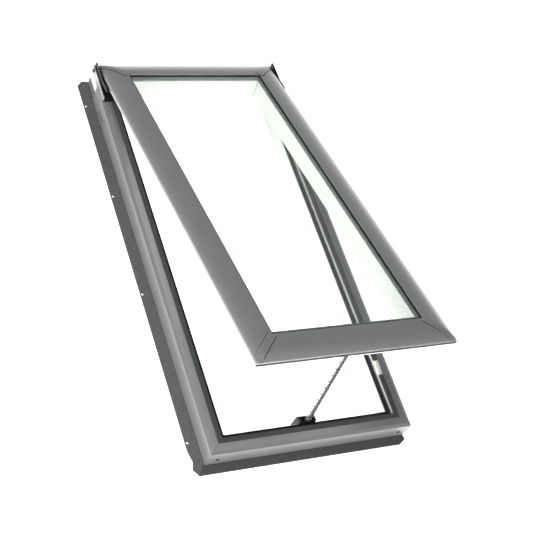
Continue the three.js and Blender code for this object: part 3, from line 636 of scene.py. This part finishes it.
def add_plate(bm, foot, inside, outside, finish):
    """One figure-of-eight plate from the pin at height foot to the next one up."""
    # degrees round the two ends; the plate's waist lies between the arcs
    arcs = [(foot, range(54, 307, 28)), (foot + PITCH, range(234, 487, 28))]
    turns = [(centre, math.radians(t)) for centre, turn in arcs for t in turn]
    rim = [bm.verts.new((inside, PLATE_R * math.sin(t), z + PLATE_R * math.cos(t))) for z, t in turns]
    drawn = bmesh.ops.extrude_face_region(bm, geom=[bm.faces.new(rim)])["geom"]
    far_rim = [g for g in drawn if isinstance(g, bmesh.types.BMVert)]
    bmesh.ops.translate(bm, vec=(outside - inside, 0, 0), verts=far_rim)
    for face in {face for vert in rim + far_rim for face in vert.link_faces}:
        face.material_index = finish


def add_rod(bm, radius, half_length, height, finish=0, sides=14):
    made = bmesh.ops.create_cone(
        bm, cap_ends=True, segments=sides, radius1=radius, radius2=radius, depth=2 * half_length,
        matrix=Matrix.Translation((0, 0, height)) @ quarter_turn,
    )
    for face in {face for vert in made["verts"] for face in vert.link_faces}:
        face.material_index = finish


links = bmesh.new()
LINKS = 23
OUTER = 0
INNER = 1
# the insides and outsides of the two kinds of plate, from the chain's middle
plates = ((5.3 * MM, 6.6 * MM, OUTER), (3.8 * MM, 5.1 * MM, INNER))
ROLLER_R = 3.7 * MM
ROLLER_HALF = 3.5 * MM
PIN_R = 2.1 * MM
PIN_HALF = 7.1 * MM
for i in range(LINKS + 1):
    height = reach - PITCH * (i + 1)
    add_rod(links, ROLLER_R, ROLLER_HALF, height, INNER)
    add_rod(links, PIN_R, PIN_HALF, height, OUTER)
    if i < LINKS:
        inside, outside, finish = plates[i % 2]
        for hand in (-1, 1):
            add_plate(links, height - PITCH, hand * inside, hand * outside, finish)
bmesh.ops.recalc_face_normals(links, faces=links.faces)
rims = [e for e in links.edges if e.is_manifold and e.calc_face_angle() > math.radians(60)]
bmesh.ops.bevel(links, geom=rims, offset=0.25 * MM, segments=1, profile=0.5, affect="EDGES", material=-1)
bmesh.ops.transform(links, matrix=stand_up, verts=links.verts)
chain = fit(links, "push_chain_links", nickel, "push_chain")
chain.data.materials.append(inner_links_painted_shade)
even_shading(chain)
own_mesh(chain)

# the end link is milled from bar: a head on the bracket's pin and a tongue between the first plates,
# each as half its width, half its depth, its foot and its top, in mm from the pin
end_link = bmesh.new()
for half_x, half_y, foot, head in ((6.5, 5.5, -6.6, 4), (3.6, 4.2, -12.7, -5)):
    made = bmesh.ops.create_cube(end_link, size=2 * MM)
    bmesh.ops.scale(end_link, vec=(half_x, half_y, (head - foot) / 2), verts=made["verts"])
    bmesh.ops.translate(end_link, vec=(0, 0, reach + (head + foot) / 2 * MM), verts=made["verts"])
add_rod(end_link, 4.2 * MM, 3.6 * MM, reach - PITCH, sides=20)
rims = [e for e in end_link.edges if e.calc_face_angle() > math.radians(60)]
bmesh.ops.bevel(end_link, geom=rims, offset=0.8 * MM, segments=3, profile=0.5, affect="EDGES", material=-1)
bmesh.ops.transform(end_link, matrix=stand_up, verts=end_link.verts)
even_shading(fit(end_link, "chain_end_link_milled", nickel, "chain_end_link"))
fit_softened(["chain_end_pin"], 0.3 * MM, nickel, "turned")

# ---- floor, light and camera ----
# A plain white light table in a dim studio, with soft boxes to the left and in front, a weak card
# behind and a narrow strip light overhead. Sizes are in metres and the lights' strengths in watts.
FLOOR_HALF = 40
FLOOR_DROP = 0.5 * MM
stage = bmesh.new()
bmesh.ops.create_grid(stage, x_segments=1, y_segments=1, size=FLOOR_HALF)
bmesh.ops.translate(stage, vec=(0, 0, -FLOOR_DROP), verts=stage.verts)
mesh = bpy.data.meshes.new("studio_floor")
stage.to_mesh(mesh)
stage.free()
floor_paint, tree, shader, coords = new_finish(
    "opal_acrylic_lit_from_below",
    {
        "Base Color": linear("#f7f7f7"), "Roughness": 0.9, "Specular IOR Level": 0.1,
        "Emission Color": linear("#ffffff"), "Emission Strength": 0.95,
    },
)
mesh.materials.append(floor_paint)
floor = bpy.data.objects.new("studio_floor", mesh)
bpy.context.scene.collection.objects.link(floor)

world = bpy.data.worlds.new("studio")
bpy.context.scene.world = world
world.use_nodes = True
room = world.node_tree.nodes["Background"]
room.inputs["Color"].default_value = linear("#ffffff")
room.inputs["Strength"].default_value = 0.24


def soft_box(name, place, target, width, height, power):
    """A studio light at place, turned to face target."""
    lamp = bpy.data.lights.new(name, "AREA")
    lamp.shape = "RECTANGLE"
    lamp.size = width
    lamp.size_y = height
    lamp.energy = power
    box = bpy.data.objects.new(name, lamp)
    box.location = place
    box.rotation_euler = (Vector(target) - Vector(place)).to_track_quat("-Z", "Y").to_euler()
    bpy.context.scene.collection.objects.link(box)


soft_box("left_soft_box", (-3.6, -0.4, 0.6), (0, 0, 0.1), 3.0, 1.2, 165)
soft_box("front_soft_box", (-0.4, -3.7, 0.45), (0, 0, 0.1), 3.4, 0.9, 155)
soft_box("back_card", (2.9, 2.6, 0.5), (0, 0, 0.2), 4.0, 0.8, 2.5)
soft_box("overhead_strip", (-0.5, -0.35, 3.4), (-0.25, -0.35, 0.2), 1.3, 0.4, 24)

view = bpy.data.cameras.new("camera")
view.lens = 83.8
view.sensor_width = 36
camera = bpy.data.objects.new("camera", view)
right = Vector((0.8876, -0.301, 0.3487))
up = Vector((0.0704, 0.8367, 0.5431))
turned_to_skylight = Matrix((right, up, right.cross(up))).transposed().to_4x4()
camera.matrix_world = Matrix.Translation((-1.4535, -1.5923, 2.5621)) @ turned_to_skylight
bpy.context.scene.collection.objects.link(camera)
bpy.context.scene.camera = camera
bpy.context.scene.view_settings.view_transform = "Standard"
